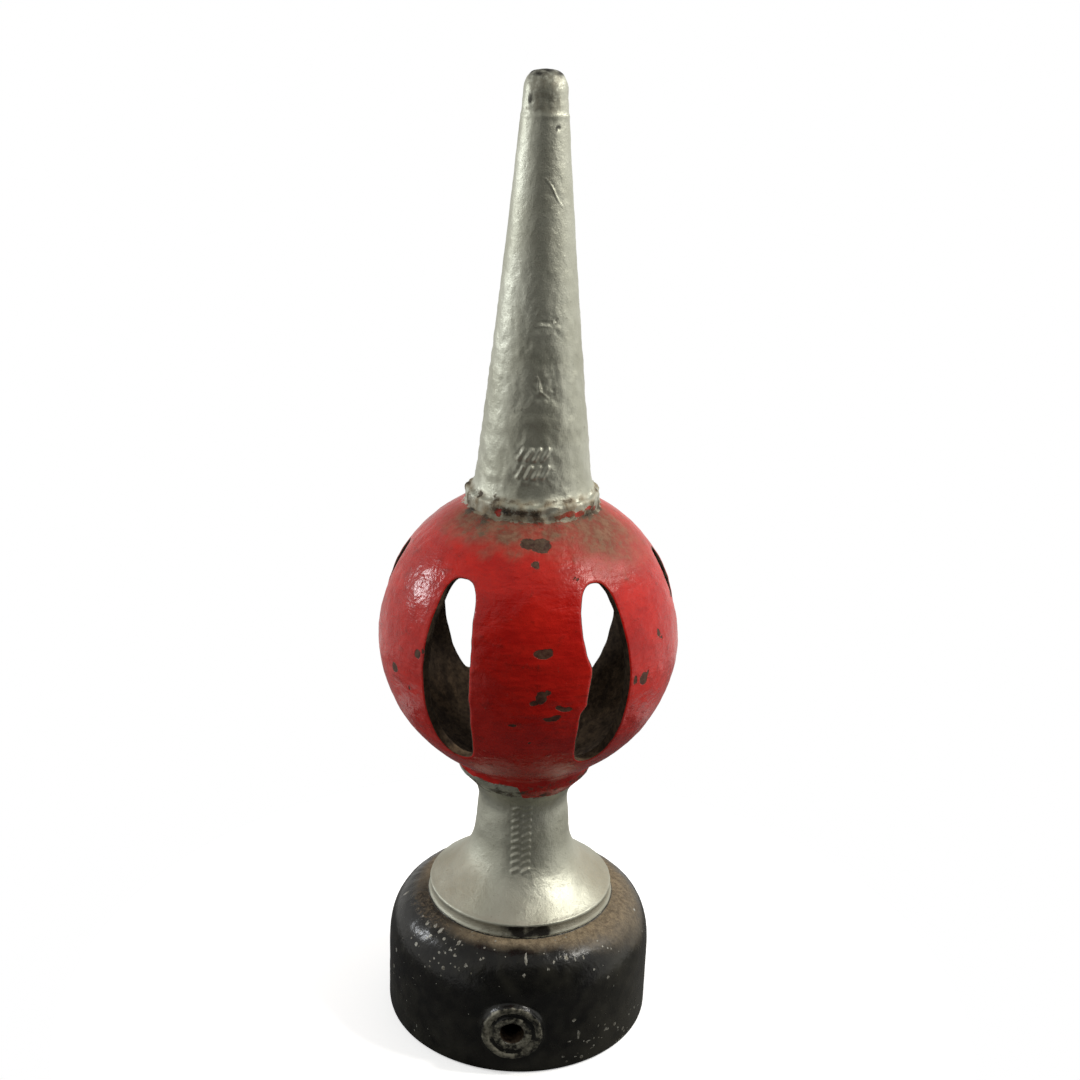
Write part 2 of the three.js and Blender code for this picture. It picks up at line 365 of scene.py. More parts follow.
def zip_loops(outer, inner):
    """Faces between two loops of different counts, by angle round the hole, turned towards the axis."""
    def angle(v):
        x, _, z = verts[v]
        return math.atan2(z - BOSS_Z, x - BOSS_X)

    a = sorted(outer, key=angle)
    b = sorted(inner, key=angle)
    i = j = 0
    na, nb = len(a), len(b)
    while i < na or j < nb:
        ai, bj = a[i % na], b[j % nb]
        ta = angle(a[(i + 1) % na]) + (2 * math.pi if i + 1 >= na else 0)
        tb = angle(b[(j + 1) % nb]) + (2 * math.pi if j + 1 >= nb else 0)
        if j >= nb or (i < na and ta <= tb):
            tri = (ai, a[(i + 1) % na], bj)
            i += 1
        else:
            tri = (ai, b[(j + 1) % nb], bj)
            j += 1
        faces.append(tri[::-1])


zip_loops(bore_loop, hole_inner)

# Disc foot, flare, neck and cup

low_ring = outer_made[-1]
disc_base = ring(DISC_R + 0.25, SHOULDER_Z1 - 0.15, COLS, SILVER)
bridge_half(low_ring, disc_base)

disc = [(DISC_R, 92.2), (DISC_R + 0.15, 92.9), (DISC_R, 93.6), (DISC_R - 0.7, 94.4),
        (DISC_R - 1.1, 95.6), (DISC_R - 1.3, 97.0), (DISC_R - 1.4, 98.4), (DISC_R - 1.1, 99.4),
        (DISC_TOP_R, 100.2), (DISC_TOP_R, DISC_TOP - DISC_EDGE)]
disc += arc(DISC_TOP_R - DISC_EDGE, DISC_TOP - DISC_EDGE, DISC_EDGE, 0, 70, 3)
flare_foot = (DISC_TOP_R - DISC_EDGE - 0.5, DISC_TOP + 0.3)
flare = [flare_foot] + bezier([flare_foot, FLARE_PULL_LOW, FLARE_PULL_HIGH, NECK_LOW], 80)
flare += [WAIST]
flare += bezier([WAIST, CUP_PULL_LOW, CUP_PULL_HIGH, CUP], 40)
flare += [CUP_BAND]
neck = disc + even(flare, UPPER_STEP)
neck_rows = rows(neck, COLS, SILVER, disc_base)
ball_foot_z = BALL_Z - math.sqrt(BALL_R ** 2 - BALL_FOOT_R ** 2)
cup_top = bezier([CUP_BAND, (49.6, 206.0), (BALL_FOOT_R, ball_foot_z)], 4)[:-1]
neck_rows = rows(cup_top, COLS, RED, neck_rows[-1])

# Ball: six sectors, each a set of rings round its slot

# Points up each side of a sector, and rings from its edge to its slot, outside and inside
SIDE = 80
OUTER_RINGS, INNER_RINGS = 14, 3
# Latitude where the hollow's sectors end, and the rings that close it from there to the pole
IN_LAT, CAP_RINGS = math.radians(62), 6
# How far a slot's inner edge is widened
INNER_LIP = 0.7
# Across a slot's edge: share of the lip's rounding left, depth below the ball's surface, what it is
LIP_ROWS = ((0.72, 0.25, RED), (0.25, 0.75, HOLLOW), (0.0, 1.7, HOLLOW), (0.0, 3.8, HOLLOW),
            (0.0, BALL_WALL - 0.9, HOLLOW))

ball_foot_ring = ring(BALL_FOOT_R, ball_foot_z, COLS, RED)
bridge(neck_rows[-1], ball_foot_ring)
collar_z = BALL_Z + math.sqrt(BALL_R ** 2 - COLLAR_R ** 2)
ball_head_ring = ring(COLLAR_R, collar_z, COLS, RED)
LAT0 = math.asin((ball_foot_z - BALL_Z) / BALL_R)
LAT1 = math.asin((collar_z - BALL_Z) / BALL_R)


def meridians(radius, low, high, lat0, lat1, kind):
    """Columns of vertices between two rings, one at each rib's middle."""
    out = []
    for s in range(SLOTS):
        col = [low[s * SECTOR]]
        for k in range(1, SIDE):
            lat = lat0 + (lat1 - lat0) * k / SIDE
            a = 2 * math.pi * s / SLOTS
            r = radius * math.cos(lat)
            col.append(add(r * math.sin(a), -r * math.cos(a), BALL_Z + radius * math.sin(lat), kind))
        col.append(high[s * SECTOR])
        out.append(col)
    return out


def stray(sector, side, z):
    """Millimetres that the metal stands into a slot at height z, side -1 or +1 along the tangent."""
    seed = sector * 7.3 + side * 2.1
    d = 0.8 * noise.noise(Vector((z * 0.03, seed, 0.0)))
    d += 0.35 * noise.noise(Vector((z * 0.11, seed, 4.0)))
    if sector == 0 and side < 0:
        # flash left on the front right slot's inner edge, ending in a step below the equator
        foot = min(1.0, max(0.0, (z + 19.0) / 8.0))
        head = min(1.0, max(0.0, (48.0 - z) / 34.0))
        d += foot * foot * (3 - 2 * foot) * head * (3.9 + 3.4 * math.exp(-((z - 12.0) / 13.0) ** 2))
    if sector == 0 and side > 0:
        d += 1.3 * math.exp(-((z - 38.0) / 18.0) ** 2) - 0.8 * math.exp(-(z / 14.0) ** 2)
    if sector == 5 and side < 0:
        d += 1.0 * math.exp(-((z - 46.0) / 12.0) ** 2)
    if sector == 5 and side > 0:
        d += 1.2 * math.exp(-((z - 40.0) / 16.0) ** 2)
    return d


# Where a slot's outline changes from its ends to its sides
CORNER = math.atan2(1, 1)
corner_v = oval(CORNER, SLOT_FULL)[1]


def slot_half_width(z):
    return SLOT_W * (1 - (abs(z) / SLOT_H) ** SLOT_FULL) ** (1 / SLOT_FULL)


def slot_points(sector, grow):
    """The slot's outline, grown outwards by grow, as (tangent, height), in the loop's order."""
    def top(t, sign):
        # t from 0 to 1 goes across the end from -side to +side
        a = math.pi / 2 + (0.5 - t) * 2 * (math.pi / 2 - CORNER)
        u, v = oval(a, SLOT_FULL)
        return (u * SLOT_W, sign * v * SLOT_H)

    pts = [top(i / SECTOR, -1) for i in range(SECTOR)]
    zc = corner_v * SLOT_H
    for k in range(SIDE):
        z = -zc + 2 * zc * k / SIDE
        pts.append((slot_half_width(z), z))
    pts += [top(1 - i / SECTOR, 1) for i in range(SECTOR)]
    for k in range(SIDE):
        z = zc - 2 * zc * k / SIDE
        pts.append((-slot_half_width(z), z))
    out = []
    for u, z in pts:
        side = 1 if u > 0 else -1
        blend = min(1.0, abs(u) / 6.0)
        u -= side * stray(sector, side, z) * blend
        z -= math.copysign(0.7 * noise.noise(Vector((u * 0.12, sector * 3.1, z * 0.01))), z)
        out.append((u, z))
    grown = []
    for i in range(len(out)):
        ax, ay = out[i - 1]
        bx, by = out[(i + 1) % len(out)]
        tx, ty = bx - ax, by - ay
        length = math.hypot(tx, ty) or 1.0
        grown.append((out[i][0] + grow * ty / length, out[i][1] - grow * tx / length))
    return grown


def slot_turn(sector):
    return math.radians(FIRST_SLOT_DEG + 360 / SLOTS * sector)


def on_slot(sector, radius, points, kind):
    a = slot_turn(sector)
    rad = (math.sin(a), -math.cos(a))
    tan = (math.cos(a), math.sin(a))
    out = []
    for u, z in points:
        w = math.sqrt(max(radius * radius - u * u - z * z, 0.0))
        out.append(add(w * rad[0] + u * tan[0], w * rad[1] + u * tan[1], BALL_Z + z, kind))
    return out


def sector_loop(sector, low, high, cols):
    nxt = (sector + 1) % SLOTS
    loop = [low[sector * SECTOR + i] for i in range(SECTOR)]
    loop += [cols[nxt][k] for k in range(SIDE)]
    loop += [high[(sector * SECTOR + SECTOR - i) % COLS] for i in range(SECTOR)]
    loop += [cols[sector][SIDE - k] for k in range(SIDE)]
    return loop


def fan_rings(sector, loop, edge, radius, steps, kind, outward):
    """Rings on the sphere from a sector's edge to its slot, closer together near the slot."""
    a0 = slot_turn(sector)

    def angles(v):
        x, y, z = verts[v]
        lat = math.asin(max(-1, min(1, (z - BALL_Z) / math.sqrt(x * x + y * y + (z - BALL_Z) ** 2))))
        az = math.atan2(x, -y) - a0
        return ((az + math.pi) % (2 * math.pi) - math.pi, lat)

    start = [angles(v) for v in loop]
    ends = [angles(v) for v in edge]
    made = [loop]
    for k in range(1, steps):
        t = k / steps
        t = t + 0.18 * math.sin(math.pi * t)
        new = []
        for (az0, la0), (az1, la1) in zip(start, ends):
            az = az0 + (az1 - az0) * t + a0
            la = la0 + (la1 - la0) * t
            r = radius * math.cos(la)
            new.append(add(r * math.sin(az), -r * math.cos(az), BALL_Z + radius * math.sin(la), kind))
        made.append(new)
    made.append(edge)
    for low, high in zip(made, made[1:]):
        bridge(low, high, not outward)


low_r, low_z = BALL_IN * math.cos(IN_LAT), BALL_Z - BALL_IN * math.sin(IN_LAT)
in_foot = ring(low_r, low_z, COLS, HOLLOW)
in_head = ring(low_r, 2 * BALL_Z - low_z, COLS, HOLLOW)
outer_cols = meridians(BALL_R, ball_foot_ring, ball_head_ring, LAT0, LAT1, RED)
inner_cols = meridians(BALL_IN, in_foot, in_head, -IN_LAT, IN_LAT, HOLLOW)

for s in range(SLOTS):
    loop = sector_loop(s, ball_foot_ring, ball_head_ring, outer_cols)
    edge0 = on_slot(s, BALL_R, slot_points(s, SLOT_LIP), RED)
    fan_rings(s, loop, edge0, BALL_R, OUTER_RINGS, RED, True)
    last = edge0
    for grow, depth, kind in LIP_ROWS:
        new = on_slot(s, BALL_R - depth, slot_points(s, grow * SLOT_LIP), kind)
        bridge(last, new)
        last = new
    inner_edge = on_slot(s, BALL_IN, slot_points(s, INNER_LIP), HOLLOW)
    bridge(last, inner_edge)
    inner_loop = sector_loop(s, in_foot, in_head, inner_cols)
    fan_rings(s, inner_loop, inner_edge, BALL_IN, INNER_RINGS, HOLLOW, False)


def close_hollow(edge, sign):
    """The hollow's end below, sign -1, or above, sign 1."""
    last = edge
    for k in range(1, CAP_RINGS):
        lat = IN_LAT + (math.pi / 2 - IN_LAT) * k / CAP_RINGS
        new = ring(BALL_IN * math.cos(lat), BALL_Z + sign * BALL_IN * math.sin(lat), COLS, HOLLOW)
        for i in range(COLS):
            j = (i + 1) % COLS
            quad = (last[i], last[j], new[j], new[i])
            faces.append(quad if sign < 0 else quad[::-1])
        last = new
    pole = add(0, 0, BALL_Z + sign * BALL_IN, HOLLOW)
    for i in range(COLS):
        j = (i + 1) % COLS
        tri = (last[i], last[j], pole)
        faces.append(tri if sign < 0 else tri[::-1])


close_hollow(in_foot, -1)
close_hollow(in_head, 1)

# Collar, spike and tip

BEAD_STEP, TIP_RINGS = 0.8, 14
collar = straight((COLLAR_R, collar_z), (COLLAR_R, COLLAR_TOP - COLLAR_EDGE), 5)
collar += arc(COLLAR_R - COLLAR_EDGE, COLLAR_TOP - COLLAR_EDGE, COLLAR_EDGE, 0, 80, 3)
foot = (COLLAR_R - COLLAR_EDGE - 0.5, COLLAR_TOP + 0.2)
foot_curve = [foot] + bezier([foot, (SPIKE_R0 + 0.6, COLLAR_TOP + 4), (SPIKE_R0, SPIKE_Z0)], 20)
spike = [(spike_radius(z), z) for z in np.linspace(SPIKE_Z0, BEAD_Z - 6, 80)[1:]]
upper = even(foot_curve + spike, UPPER_STEP)
z = upper[-1][1]
bead = []
while z < SPIKE_Z1 - BEAD_STEP:
    z += BEAD_STEP
    rise = BEAD_UP * math.exp(-((z - BEAD_Z) / (BEAD_HALF * 0.62)) ** 2)
    bead.append((spike_radius(z) + rise, z))
spike_rows = rows(collar + upper + bead, COLS, SILVER, ball_head_ring)
tip_points = []
for i in range(1, TIP_RINGS):
    u, v = oval(math.pi / 2 * i / TIP_RINGS, TIP_FULL)
    tip_points.append((SPIKE_R1 * u, SPIKE_Z1 + (TIP_Z - SPIKE_Z1) * v))
spike_rows = rows(tip_points, COLS, SILVER, spike_rows[-1])
tip = add(0, 0, TIP_Z, SILVER)
for i in range(COLS):
    faces.append((spike_rows[-1][i], spike_rows[-1][(i + 1) % COLS], tip))

# The mesh object, with smaller faces where marks and scratches stand

def smooth(low, high, x):
    t = np.clip((x - low) / (high - low), 0.0, 1.0)
    return t * t * (3 - 2 * t)


mesh = bpy.data.meshes.new("finial")
mesh.from_pydata(verts, [], faces)
bm = bmesh.new()
bm.from_mesh(mesh)
kind_layer = bm.verts.layers.int.new("kind")
for v, kind in zip(bm.verts, zone):
    v[kind_layer] = kind
bmesh.ops.delete(bm, geom=[v for v in bm.verts if not v.link_edges], context="VERTS")

# Places with smaller faces: azimuth from and to, height from and to
FINE = ((-19, 19, 417, 444), (-15, 15, 124, 181), (-6, 30, 515, 527), (2, 48, 588, 612),
        (-4, 26, 469, 490), (-7, 15, 371, 389), (-6, 17, 273, 300), (0, 12, 319, 330))
FINE_CUTS = 2
fine_edges = set()
for f in bm.faces:
    c = f.calc_center_median()
    az = math.degrees(math.atan2(c.x, -c.y))
    if any(a0 < az < a1 and z0 < c.z < z1 for a0, a1, z0, z1 in FINE):
        fine_edges.update(f.edges)
bmesh.ops.subdivide_edges(bm, edges=list(fine_edges), cuts=FINE_CUTS, use_grid_fill=True)
bmesh.ops.triangulate(bm, faces=[f for f in bm.faces if len(f.verts) > 4])
bm.to_mesh(mesh)
bm.free()

count = len(mesh.vertices)
pos = np.empty(count * 3, dtype=np.float32)
mesh.vertices.foreach_get("co", pos)
pos = pos.reshape(-1, 3).astype(float)
nor = np.array([tuple(n.vector) for n in mesh.vertex_normals])
point_kind = np.array([a.value for a in mesh.attributes["kind"].data])
X, Y, Z = pos.T
R = np.hypot(X, Y)
AZ = np.degrees(np.arctan2(X, -Y))


def turn_from(az0):
    return (AZ - az0 + 180) % 360 - 180


def facing(az0, spread, power=2):
    """One at an azimuth, falling to nothing over about spread degrees."""
    return np.exp(-(turn_from(az0) / spread) ** power)


def around(az0, z0):
    """Millimetres across and up from a place on the turned surface."""
    return np.radians(turn_from(az0)) * R, Z - z0


def field(scale, seed=0.0, squash=1.0):
    """Noise with features about scale millimetres across, flattened in height by squash."""
    k = 1.0 / scale
    return np.array([noise.noise(Vector((x * k + seed, y * k - seed, z * k * squash))) for x, y, z in pos])


n50, n14, n7, n35 = field(50, 3.0), field(14, 9.0), field(7, 5.0), field(3.5, 1.0)
brush = field(16, 2.0, 4.5)

# Cast surface

is_red = (point_kind == RED).astype(float)
is_black = (point_kind == BLACK).astype(float)
is_hollow = (point_kind == HOLLOW).astype(float)
is_silver = (point_kind == SILVER).astype(float)
spike_low = smooth(610, 440, Z) * smooth(400, 412, Z)
flare_zone = smooth(103, 108, Z) * smooth(190, 160, Z)
collar_band = smooth(390, 394, Z) * smooth(408, 404, Z)
shoulder_foot = smooth(84, 91, Z) * is_black

push = is_silver * (0.15 * n14 + 0.18 * n7 + 0.14 * n35) + is_silver * flare_zone * 0.22 * n14
push += is_silver * spike_low * (0.16 * n14 + 0.36 * n7 + 0.30 * n35)
push += collar_band * (0.7 * n14 + 0.8 * n7 + 0.8 * n35)
push += is_red * (0.35 * n50 + 0.24 * n14 + 0.26 * n7 + 0.20 * brush - 0.3)
push += is_black * (0.14 * n14 + 0.14 * n7 + 0.08 * n35) + shoulder_foot * (0.4 * n7 + 0.3 * n35)
push += is_hollow * (0.35 * n14 + 0.3 * n7)
push += smooth(640, 655, Z) * (0.25 * n7 + 0.12 * n35 - 0.1)
cup_lip = smooth(198, 202, Z) * smooth(214, 208, Z)
push += cup_lip * (0.5 * n14 + 0.5 * n7 + 0.3 * n35)
push *= smooth(0.4, 3.5, Z)


# Cast marks: rows of plain leaning strokes, softened by paint

def strokes(across_at, heights, half_length, lean, half_width, high):
    """Parallel ridges on the front, one at each crossing of the two lists of places."""
    out = np.zeros(count)
    across, rise = around(0.0, 0.0)
    c, s = math.cos(math.radians(lean)), math.sin(math.radians(lean))
    for n, zc in enumerate(heights):
        for m, uc in enumerate(across_at):
            du, dz = across - uc, rise - zc
            along = np.maximum(np.abs(du * c + dz * s) - half_length, 0)
            off = -du * s + dz * c
            up = high * (1 + 0.15 * math.sin(n * 3.7 + m * 1.9))
            out = np.maximum(out, up * np.clip(1.1 - np.hypot(along, off) / half_width, 0, 1))
    return out * (Y < 0)


push += strokes((-8.2, -2.8, 2.6, 8.0), (424.6, 436.2), 3.6, 62, 1.9, 1.0)
push += strokes((-3.9, 3.7), [128.5 + 5.2 * i for i in range(10)], 2.1, 24, 1.7, 0.75)


# Scratches and dents on the spike

def line_mark(a, b, half, high, bend=0.0):
    """A ridge (or a groove, with high below zero) between two places, given as azimuth and height."""
    am, zm = (a[0] + b[0]) / 2, (a[1] + b[1]) / 2
    u, v = around(am, zm)
    r = float(np.interp(zm, [SPIKE_Z0, SPIKE_Z1], [SPIKE_R0, SPIKE_R1]))
    p = np.array([math.radians(a[0] - am) * r, a[1] - zm])
    q = np.array([math.radians(b[0] - am) * r, b[1] - zm])
    d = q - p
    t = np.clip(((u - p[0]) * d[0] + (v - p[1]) * d[1]) / (d @ d), 0, 1)
    off = bend * np.sin(2 * math.pi * t)
    side = np.array([-d[1], d[0]]) / math.hypot(*d)
    cu = p[0] + d[0] * t + side[0] * off
    cv = p[1] + d[1] * t + side[1] * off
    dist = np.hypot(u - cu, v - cv)
    near = (np.abs(turn_from(am)) < 90).astype(float)
    return high * smooth(half, 0, dist) * near * (0.35 + 0.65 * np.sin(math.pi * np.clip(t, 0.08, 0.92)))


push += line_mark((7.0, 609.0), (40.0, 592.0), 1.3, 0.42, 0.5)
push += line_mark((0.0, 519.0), (17.0, 518.4), 1.4, 0.5)
push += line_mark((2.0, 521.4), (18.0, 521.0), 1.2, -0.4)
push += line_mark((23.0, 521.5), (26.0, 522.5), 1.5, -0.7)
push += line_mark((1.0, 486.0), (5.0, 477.0), 1.5, 0.55, 0.6)
push += line_mark((5.0, 477.0), (15.0, 473.0), 1.3, 0.5)
push += line_mark((6.0, 484.0), (9.0, 478.0), 1.3, -0.5)
push += line_mark((19.0, 478.5), (22.0, 477.5), 1.4, -0.5)
push += line_mark((30.0, 640.0), (38.0, 639.5), 1.5, -0.7)

pos += nor * push[:, None]

# Where each paint, chip, kind of dirt and painted shade lies

# Paint fields are millimetres inside an edge, and stop at this
FAR = 4.0
SIDE_CHIPS, SIDE_NICKS = 34, 46


def spot(az0, z0, half_w, half_h):
    """How far inside an oval spot, in millimetres."""
    u, v = around(az0, z0)
    d = 1 - np.sqrt((u / half_w) ** 2 + (v / half_h) ** 2)
    return np.clip(np.where(d < 0, 2.2 * d, d) * min(half_w, half_h), -FAR, FAR)


def spots(places):
    out = np.full(count, -FAR)
    for place in places:
        out = np.maximum(out, spot(*place))
    return out


layers = {}

# Red enamel: over the ball, ragged on the collar and on the cup
cup_edge = 187.5 + 13.5 * smooth(1.0, -5.0, AZ) * smooth(-150, -110, AZ) + 1.5 * n14 + 1.2 * n7
red_in = np.minimum(392.9 + 1.6 * n7 + 1.2 * n14 - Z, Z - cup_edge)
patches = spots(((-29, 397.5, 3.0, 3.4), (-24, 400, 2.4, 1.5), (24, 396.6, 4.0, 1.4), (33, 397.6, 5.0, 2.2),
                 (44, 396.0, 5.0, 2.6), (55, 398.5, 4.0, 1.8), (62, 396.5, 4.0, 2.0), (110, 398, 7, 3),
                 (165, 397, 9, 3.4), (-140, 399, 5, 3)))
layers["red"] = np.maximum(np.clip(red_in, -FAR, FAR), patches)

# Black enamel on the socket, a painted dark reflection on the rim's front, and soot on the tip
black_in = np.where(R > 60, 92.4 + 0.5 * n7 - Z, -FAR)
layers["black"] = np.clip(black_in, -FAR, FAR)
on_rim = smooth(92.3, 93.6, Z) * smooth(101.5, 100.0, Z) * (R > 60)
# Painted dark reflection on the rim's front: a soft near-black patch, with a thin lighter line at the seam
soot_and_painted_reflection = on_rim * (0.5 + 0.5 * n7) * facing(2, 26)
soot_and_painted_reflection += on_rim * (0.9 + 0.8 * n7) * facing(8, 12, 4) * (1 - 0.6 * facing(5.2, 1.2))
# and a darker patch on the rim's back
soot_and_painted_reflection += on_rim * 0.8 * facing(-160, 20, 4) * (0.8 + n7)
# Soot on the tip: its top near black, its upper part darker in patches, and dark smudges on it and by the
# bead
soot_and_painted_reflection += 0.85 * smooth(669.0, 673.0, Z + 3 * n7) + 0.3 * smooth(650, 656, Z) * (0.2 + 1.4 * n7)
tip_smudges = spots(((-41, 656.0, 1.6, 3.4), (18.5, 656, 2.2, 1.4), (14, 655, 1.4, 1.0)))
soot_and_painted_reflection += 0.45 * np.clip(tip_smudges + 0.7, 0, 1)
bead_smudges = spots(((33, 640, 2.2, 0.9), (28, 638.4, 1.0, 0.7)))
soot_and_painted_reflection += 0.8 * np.clip(bead_smudges + 0.6, 0, 1)
layers["soot_and_painted_reflection"] = np.clip(soot_and_painted_reflection, 0, 1)
layers["hollow"] = np.where(point_kind == HOLLOW, 1.0, -1.0)

# Chips through the paint: azimuth, height, half width, half height
front_chips = [
    (6.2, 383.1, 6.6, 3.4), (-1.5, 384.0, 5.0, 2.6), (2.9, 374.0, 2.6, 2.0), (5.9, 324.6, 6.2, 3.0),
    (8.2, 326.0, 2.6, 1.8), (5.5, 295.8, 3.6, 4.6), (3.4, 292.0, 3.2, 2.0), (8.0, 299.5, 2.0, 2.0),
    (14.6, 286.6, 4.0, 1.7), (12.2, 288.2, 2.2, 1.5), (9.6, 279.6, 5.2, 1.6), (11.6, 281.4, 2.6, 1.5),
    (-4.4, 274.4, 2.6, 1.1), (2.0, 260.3, 1.7, 1.4), (58, 322.7, 2.6, 3.2), (60, 318, 1.0, 1.8),
    (47.5, 296.6, 4.2, 4.6), (49.5, 301, 1.2, 2.4), (43, 298, 1.8, 3.2), (-57.2, 292, 4.4, 3.8),
    (-43, 311, 3.0, 3.2), (-40.5, 314, 1.1, 2.0), (-11, 330, 1.1, 1.0), (12.5, 309, 1.0, 0.8),
    (-6, 344, 1.3, 0.7), (-54, 404.8, 2.0, 1.8), (9.0, 352.0, 1.0, 0.6), (-9, 300, 0.9, 0.9),
    (22, 366, 2.6, 1.2), (-48, 283, 1.4, 1.8)]
rng = random.Random(7)
side_chips = []
for _ in range(SIDE_CHIPS):
    az0 = rng.uniform(72, 288)
    side_chips.append((az0, rng.uniform(232, 388), rng.uniform(1.0, 5.0), rng.uniform(0.9, 3.6)))
layers["chip"] = spots(front_chips + side_chips)

# Pale nicks and worn streaks on the socket
nicks = [
    (4.3, 85.6, 1.15, 2.9), (3.4, 77.7, 1.5, 1.5), (14.4, 81.0, 1.15, 1.3), (17.4, 83.8, 1.15, 1.1),
    (23.8, 84.8, 1.9, 1.2), (32.1, 82.6, 1.15, 1.3), (36.0, 73.7, 1.3, 1.3), (42.7, 64.3, 1.6, 1.7),
    (45.7, 55.5, 1.3, 1.3), (48, 61, 1.15, 1.1), (25.5, 39.5, 1.9, 1.9), (28, 28.5, 1.7, 1.6),
    (21.2, 11.2, 1.4, 1.5), (24, 22, 2.1, 1.2), (28, 24, 1.3, 2.2), (42.4, 21, 2.0, 1.6),
    (33, 18, 2.4, 1.1), (38, 27, 1.15, 1.5), (-29.8, 82.2, 1.5, 1.3), (-23.5, 79.0, 1.3, 1.4),
    (-44.2, 88.6, 1.6, 1.2), (-30.7, 88.0, 1.4, 1.2), (-58, 58, 1.4, 1.2), (-50, 52, 1.2, 1.1),
    (-36, 60, 1.15, 1.1), (-47, 14, 1.6, 1.3), (-55, 27, 1.15, 1.1), (-40, 18, 1.15, 1.1),
    (-20, 44, 1.15, 1.1), (-62, 40, 1.15, 1.4), (-54, 83, 1.3, 1.1), (-47, 85, 1.5, 1.2),
    (-38, 80, 1.4, 1.2), (-33, 84, 1.6, 1.2), (-26, 75, 1.3, 1.2), (-17, 84, 1.2, 1.1),
    (27, 8, 1.3, 1.3), (35, 11, 1.6, 1.2), (44, 20, 1.3, 1.4), (51, 12, 1.4, 1.2),
    (28, 83, 1.3, 1.1), (48, 81, 1.3, 1.1)]
for _ in range(SIDE_NICKS):
    nicks.append((rng.uniform(75, 300), rng.uniform(4, 88), rng.uniform(1.1, 2.2), rng.uniform(1.1, 2.0)))
layers["nick"] = spots(nicks)

speck = 0.16 + 0.12 * n14
speck += 0.66 * smooth(38, 8, Z) * smooth(14, 30, AZ) * smooth(80, 60, AZ)
speck += 0.16 * smooth(40, 6, Z) * smooth(-15, -35, AZ)
speck += 0.8 * smooth(62, 78, Z) * facing(-38, 26)
speck += 0.36 * smooth(68, 82, Z) * facing(36, 20)
speck += 0.2 * smooth(35, 5, Z) * smooth(90, 120, np.abs(AZ)) + 0.15 * smooth(5, 1.5, Z)
layers["speck"] = speck * is_black

# Tan dust, with a painted sheen where it widens over the socket's right shoulder; rust-brown dirt, with
# painted shade under the collar's lip
out_from_disc = np.hypot(np.maximum(R - 67.9, 0), 92 - Z)
# the band widens over the right shoulder, where the tan also paints that side's sheen
ring_width = 11 + 26 * facing(72, 34) + 7 * smooth(100, 150, np.abs(AZ)) + 3 * n14
dust_and_sheen = smooth(1.15, 0.2, out_from_disc / ring_width) * is_black
dust_and_sheen *= 1 - 0.75 * facing(-62, 34) - 0.22 * facing(74, 30)
dust_ball = 1.1 * facing(56, 32) * smooth(352, 388, Z + 6 * n14)
dust_ball += 1.1 * facing(-50, 26) * smooth(376, 390, Z + 4 * n7)
ball_smudges = spots(((-15.5, 386.9, 8.4, 3.4), (-24, 377, 5.5, 2.8), (14, 388, 6, 2.6), (-9, 379, 6, 1.6)))
dust_ball += 0.4 * np.clip(ball_smudges / 2 + 0.6, 0, 1)
dust_ball += (0.6 * facing(-5, 36) * smooth(372, 391, Z + 4 * n14)
              + 0.4 * smooth(110, 150, np.abs(AZ)) * smooth(376, 390, Z))
dust_and_sheen += np.clip(dust_ball, 0, 1) * is_red
dust_and_sheen += (is_silver * 0.4 * smooth(136, 112, Z) * smooth(48, 80, AZ) * smooth(125, 100, AZ)
         * smooth(101, 103, Z))
dust_and_sheen += is_silver * 0.35 * smooth(93, 96, Z) * smooth(101.5, 98, Z)
dust_and_sheen += is_silver * collar_band * (0.55 + 1.1 * n7 + 0.9 * n35)
film = (0.6 * smooth(18, 58, AZ) * smooth(140, 110, AZ) * smooth(86, 70, Z)
        + 0.45 * smooth(52, 10, Z) + 0.5 * n14 + 0.4 * n7)
layers["film"] = np.clip(film, 0, 1) * is_black
dust_and_sheen += is_hollow * (R > 60) * smooth(243, 238, Z) * smooth(225, 232, Z)
dust_and_sheen += (is_silver * 0.42 * smooth(134, 116, Z) * smooth(101, 103, Z) * smooth(-125, -95, AZ)
         * smooth(-20, -50, AZ))
layers["dust_and_sheen"] = np.clip(dust_and_sheen, 0, 1)

grime_and_painted_shade = is_black * facing(-66, 34) * smooth(19, 5, out_from_disc + 3 * n14)
# Painted shade in the recess under the collar's top lip, darkest at the front
painted_shade_under_lip = np.exp(-((Z - 398.8) / 2.4) ** 2) * smooth(380, 396, Z)
grime_and_painted_shade += 0.62 * painted_shade_under_lip * smooth(50, 14, np.abs(turn_from(-2))) * (0.8 + 0.5 * n14)
grime_and_painted_shade += 0.5 * collar_band * (0.35 + 1.3 * n14 + n7) + 0.2 * smooth(403.5, 405, Z) * smooth(409, 406, Z)
grime_and_painted_shade += 0.75 * smooth(184, 188, Z) * smooth(206, 200, Z) * is_silver * (0.55 + 0.9 * n7)
grime_and_painted_shade += 0.35 * is_red * smooth(0.35, 0.9, layers["dust_and_sheen"]) * (0.5 + n7)
# browner and darker on the ball's upper left, just below the collar
grime_and_painted_shade += 0.3 * is_red * facing(-40, 22) * smooth(381, 390, Z + 3 * n7)
layers["grime_and_painted_shade"] = np.clip(grime_and_painted_shade, 0, 1)

# Worn iron on the set-screw boss, by distance from the hole's middle and turn round it
RHO = np.hypot(X - BOSS_X, Z - BOSS_Z)
on_boss = (Y < -90) & (RHO < BOSS_R + 1.5)
TURN = np.arctan2(Z - BOSS_Z, X - BOSS_X)
